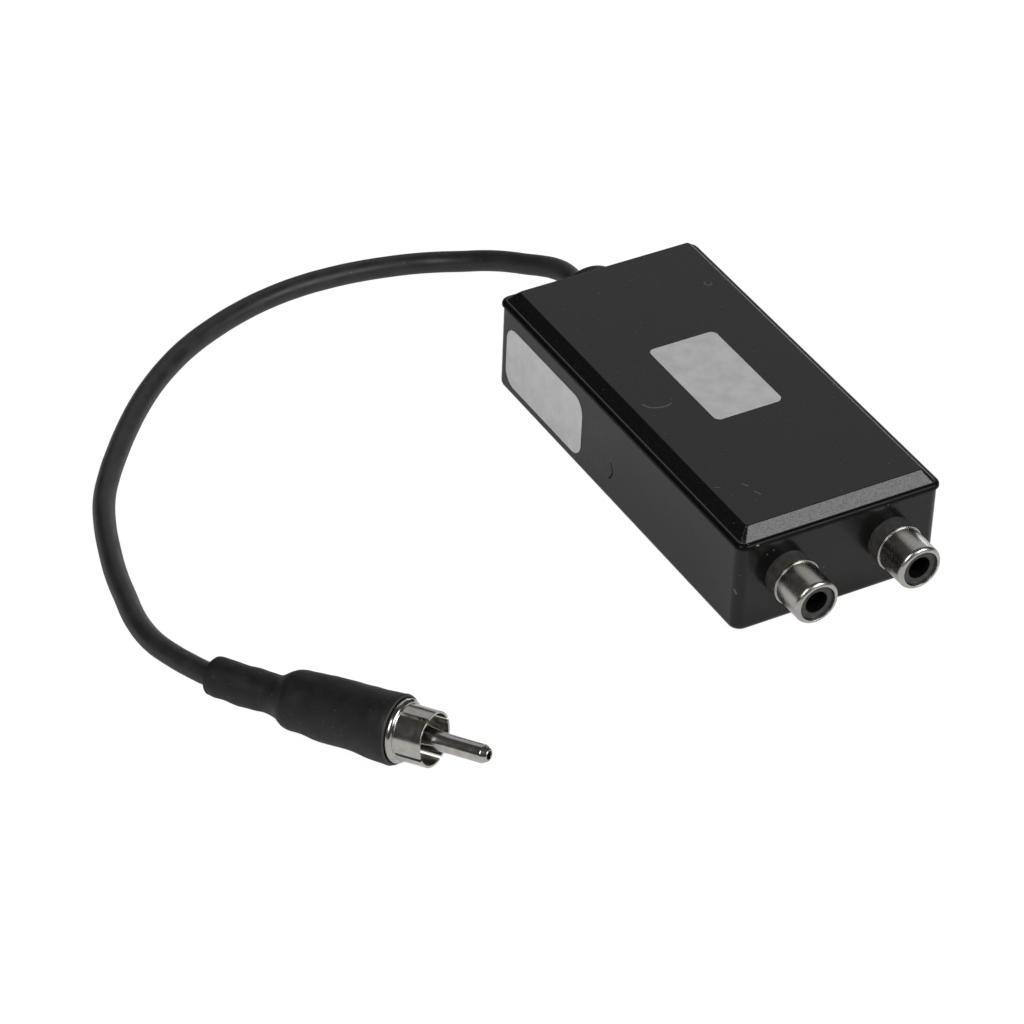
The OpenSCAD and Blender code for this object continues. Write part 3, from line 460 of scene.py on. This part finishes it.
# A small pale spot is painted on the front rim, near the left corner, mixed in with the dust.
rim_pale_spot = rim_finish.line([(-16.7, -40.4, 17.9), (-16.4, -40.4, 17.9)], 0.2)
rim_dust_and_pale_spot = rim_finish.dust(1000, 0.12, 0.16) + rim_pale_spot
rim_black = rim_finish.blend(rim_tone, grey(0.003), grey(0.006))
rim_finish.set("Base Color", rim_finish.blend(rim_dust_and_pale_spot, rim_black, grey(0.3)))
rim_finish.set("Roughness", rim_tone.step(0.3, 0.7, 0.2, 0.34))
lid.data.materials.append(rim_finish.material)
for face in lid.data.polygons:
    if face.center.z < (lid_crease - 0.01) * mm:
        face.material_index = 1

# Base: moulded in the same plastic, smooth and glossy, so that it mirrors the table and the sockets.
# Its left wall has a faint haze and a curved mark, its front corner a small nick, and its front wall
# four bright specks.
half_width = 19.7
half_length = 40.2
seam_z = 17.2
walls = Finish("walls", IOR=1.43)
walls_stain = walls.noise(240, 4)
haze_far = walls.vector("DISTANCE", walls.places(), Vector((-half_width, 5, 10)) * mm, out=1)
haze = haze_far.step(1.5 * mm, 8 * mm, 1, 0) * walls.noise(190, 3).step(0.38, 0.62)
walls_dust = walls.dust(1000, 0.12, 0.12)
mark_path = [(1, 8.2), (0.3, 7.1), (0.5, 5.9), (1.3, 4.8)]
walls_mark = walls.line(curved([(-half_width, *at) for at in mark_path], 2), 0.24)
walls_nick = walls.line([(-19.55, -39.05, 8.8), (-19.35, -39.37, 8.2)], 0.3)
for x, z in ((-13.2, 15.6), (-14.4, 15.1), (-2.8, 8.4), (7.4, 5.6)):
    walls_nick = walls_nick + walls.line([(x, -half_length, z), (x + 0.1, -half_length, z)], 0.16)
walls_tone = walls.blend(walls_stain.step(0.3, 0.7), grey(0.0045), grey(0.0065, 0.03))
walls_worn = walls.blend(haze * 0.07 + walls_dust * 0.6 + walls_nick * 0.6, walls_tone, grey(0.22))
walls.set("Base Color", walls_worn)
walls.set("Roughness", walls_stain.step(0.3, 0.75, 0.17, 0.26) + haze * 0.12 + walls_mark * 0.7)
walls.bump(walls.noise(900, 3), 0.000012)


def on_base_rim(at):
    """Picks the top edge of the walls' outside."""
    on_outside = abs(at.x) > half_width - 0.01 or abs(at.y) > half_length - 0.01
    return at.z > seam_z - 0.1 and on_outside


eased_base = eased("base_shell", case_edge_r, on_base_rim)
place(eased_base, "base_moulding", walls, "base_shell")

# Labels: bare silver-grey foil, glued on, one on the lid and a longer one on the left wall. Each has
# a rubbed face with a fine grain, and rounded corners.
label_edge_r = 0.03
labels = (("top_label", "label_paper", 0.66, 0.8), ("side_label", "label_film", 0.82, 0.95))
for name, slot, low, high in labels:
    foil = Finish(f"{name}_foil", Metallic=0.35, IOR=1.5)
    foil_rub = foil.noise(330, 5, 0.6)
    foil_tone = foil.blend(foil_rub.step(0.3, 0.72), grey(low, 0.005), grey(high, 0.005))
    foil_specks = foil.noise(2300, 4, 0.7).step(0.64, 0.74)
    foil.set("Base Color", foil.blend(foil_specks * 0.4, foil_tone, grey(0.4, 0.01)))
    foil.set("Roughness", foil_rub.step(0.3, 0.75, 0.38, 0.5))
    foil.bump(foil.noise(5200, 2), 0.00001)
    place(eased(name, label_edge_r, lambda at: True), f"{name}_foil", foil, name)

# Sockets: each has a plated shell on a black bushing, with a dark insulator and a split contact.
# A nut clamps it inside the wall, over its earth tag.
socket_x = 10.1
socket_z = 10
socket_hole_r = 2.1
outside_y = -40.5
bushing_edge_r = 0.12
shell_edge_r = 0.08
socket_nickel = plating("socket_nickel", Vector((0, 1, 0)), 0.18)
ebonite = Finish("ebonite", IOR=1.5)
ebonite_tone = ebonite.noise(900, 4)
ebonite_worn = ebonite_tone.step(0.3, 0.7) + ebonite.dust(1000, 0.12, 0.1) * 0.5
ebonite.set("Base Color", ebonite.blend(ebonite_worn, grey(0.045, 0.08), grey(0.075, 0.08)))
ebonite.set("Roughness", ebonite_tone.step(0.3, 0.7, 0.34, 0.46))
ebonite.bump(ebonite.rings(Vector((0, 1, 0)), 6000), 0.000006)

insulation = Finish("insulation", IOR=1.5)
socket_middle = Vector((socket_x, 0, socket_z)) * mm
either_side = insulation.vector("ABSOLUTE", insulation.places())
from_middle = insulation.vector("SUBTRACT", either_side, socket_middle)
from_axis = insulation.vector("LENGTH", insulation.vector("MULTIPLY", from_middle, (1, 0, 1)), out=1)
# Within the hole's radius the insulator is painted near black, as painted shade in the hole.
clear_of_painted_hole_shade = from_axis.step(socket_hole_r * mm, (socket_hole_r + 0.15) * mm)
ring_tone = insulation.blend(insulation.noise(900, 4).step(0.3, 0.7), grey(0.035), grey(0.055))
insulation.set("Base Color", insulation.blend(clear_of_painted_hole_shade, grey(0.0015), ring_tone))
insulation.set("Roughness", insulation.noise(1500, 3).step(0.3, 0.7, 0.4, 0.55))

tinned = Finish("tinned", Metallic=1.0, Roughness=0.35)
tinned_tone = tinned.noise(900, 3).step(0.3, 0.7)
tinned.set("Base Color", tinned.blend(tinned_tone, (0.6, 0.56, 0.44, 1), (0.7, 0.66, 0.54, 1)))
# The contacts are painted near black, as painted shade deep in the socket holes.
bronze_in_painted_shade = Finish("bronze_in_painted_shade", Metallic=1.0)
bronze_tone = bronze_in_painted_shade.noise(900, 3).step(0.3, 0.7)
bronze_in_painted_shade.set("Base Color", bronze_in_painted_shade.blend(bronze_tone, (0.006, 0.005, 0.004, 1), (0.02, 0.016, 0.012, 1)))
bronze_in_painted_shade.set("Roughness", bronze_in_painted_shade.noise(1500, 3).step(0.3, 0.7, 0.45, 0.65))
for side in ("left", "right"):
    bushing = eased(f"{side}_socket_bushing", bushing_edge_r, lambda at: at.y < outside_y)
    place(bushing, f"{side}_bushing_eased", ebonite, f"{side}_socket_bushing")
    shell = eased(f"{side}_socket_shell", shell_edge_r, lambda at: at.y < outside_y)
    place(shell, f"{side}_shell_plated", socket_nickel, f"{side}_socket_shell")
    dress(f"{side}_socket_insulator", insulation)
    dress(f"{side}_socket_contact", bronze_in_painted_shade)
    dress(f"{side}_socket_tag", tinned)
    dress(f"{side}_socket_nut", socket_nickel)

# Grommet: a soft black ring, moulded in rubber, which grips the cable in the back wall. Its neck
# sits in the wall's hole between two flanges.
dress("cable_grommet", shrink)

# Screws: zinc-plated steel with flat cylindrical heads. Four in the underside hold the lid, and four
# hold the board on its standoffs.
zinc = Finish("zinc", Metallic=1.0, Roughness=0.4)
zinc.set("Base Color", zinc.blend(zinc.noise(900, 3).step(0.3, 0.7), grey(0.45), grey(0.55)))
dress("lid_screws", zinc)
dress("board_screws", zinc)

# Board and components, hidden in the closed case: a green laminate with lacquered parts, ferrite
# cores wound with enamelled copper, and jacketed wires, all soldered to the board. The cable's
# screen is twisted together and tinned.
laminate = Finish("laminate", Roughness=0.35)
laminate_tone = laminate.noise(900, 3)
laminate.set("Base Color", laminate.blend(laminate_tone, (0.02, 0.09, 0.03, 1), (0.03, 0.13, 0.05, 1)))
dress("circuit_board", laminate)
ferrite = Finish("ferrite", Roughness=0.7)
ferrite.set("Base Color", ferrite.blend(ferrite.noise(1500, 3), grey(0.02), grey(0.035)))
enamel = Finish("enamel", Roughness=0.25, Metallic=0.6)
enamel_tone = enamel.noise(900, 3)
enamel.set("Base Color", enamel.blend(enamel_tone, (0.36, 0.1, 0.03, 1), (0.48, 0.16, 0.05, 1)))
for name in ("choke_core", "coil_cores"):
    dress(name, ferrite)
for name in ("choke_windings", "coil_windings"):
    dress(name, enamel)
lacquer = Finish("lacquer", Roughness=0.3)
lacquer_tone = lacquer.noise(900, 3)
lacquer.set("Base Color", lacquer.blend(lacquer_tone, (0.36, 0.08, 0.04, 1), (0.46, 0.12, 0.06, 1)))
lacquered = (
    "film_capacitors", "disc_capacitors", "resistors",
    "signal_wires", "earth_wires", "cable_core_wire", "plug_core_wire",
)
for name in lacquered:
    dress(name, lacquer)
dress("cable_screen_wire", tinned)

# Floor and lamps: a white table under soft boxes. The box in front lights the lid's front bevel, and
# a dim panel behind is what the lid's top reflects. A box on the left lights the labels, and a low
# card on the right the lid's right edge.
floor = bpy.data.objects.new("floor", bpy.data.meshes.new("floor"))
bm = bmesh.new()
bmesh.ops.create_grid(bm, x_segments=1, y_segments=1, size=2.5)
bm.to_mesh(floor.data)
bm.free()
bpy.context.scene.collection.objects.link(floor)
table_glow = 1.08
glow_seen = 0.9
glow_mirrored = 0.25
table = Finish("table", Roughness=0.9)
table.set("Base Color", (0.92, 0.92, 0.92, 1))
seen = table.add("ShaderNodeLightPath", {}, {}, out="Is Camera Ray")
mirrored = Wire(table, seen.socket.node.outputs["Is Glossy Ray"])
glow = table.add("ShaderNodeEmission", {}, {"Color": (1, 1, 1, 1), "Strength": table_glow})
mixed = table.add("ShaderNodeMixShader", {}, {
    0: seen * glow_seen + mirrored * glow_mirrored,
    1: Wire(table, table.shader.outputs[0]),
    2: glow,
})
table.plug(table.tree.nodes["Material Output"].inputs["Surface"], mixed)
floor.data.materials.append(table.material)


def soft_box(name, direction, distance, width, height, strength):
    """An area lamp that looks at the middle of the object."""
    lamp = bpy.data.objects.new(name, bpy.data.lights.new(name, "AREA"))
    lamp.data.shape = "RECTANGLE"
    lamp.data.size = width
    lamp.data.size_y = height
    lamp.data.energy = strength * width * height * math.pi
    direction = Vector(direction).normalized()
    turn = direction.to_track_quat("Z", "Y").to_matrix().to_4x4()
    lamp.matrix_world = Matrix.Translation(direction * distance) @ turn
    bpy.context.scene.collection.objects.link(lamp)


soft_box("front_box", (0.42, -0.68, 0.62), 1.4, 0.8, 0.7, 4.9)
soft_box("back_panel", (0.41, 0.68, 0.61), 1.6, 1.4, 1.2, 0.42)
soft_box("left_box", (-0.62, -0.34, 0.70), 1.4, 0.7, 0.8, 3.6)
soft_box("right_card", (0.75, 0.65, 0.12), 1.5, 0.9, 0.3, 1.8)

room_light = 0.06
backdrop_light = 1.0
world = bpy.data.worlds.new("studio")
world.use_nodes = True
bpy.context.scene.world = world
shade = world.node_tree.nodes["Background"]
path = world.node_tree.nodes.new("ShaderNodeLightPath")
level_mix = world.node_tree.nodes.new("ShaderNodeMapRange")
level_mix.inputs["To Min"].default_value = room_light
level_mix.inputs["To Max"].default_value = backdrop_light
world.node_tree.links.new(path.outputs["Is Camera Ray"], level_mix.inputs["Value"])
world.node_tree.links.new(level_mix.outputs["Result"], shade.inputs["Strength"])
shade.inputs["Color"].default_value = (1, 1, 1, 1)
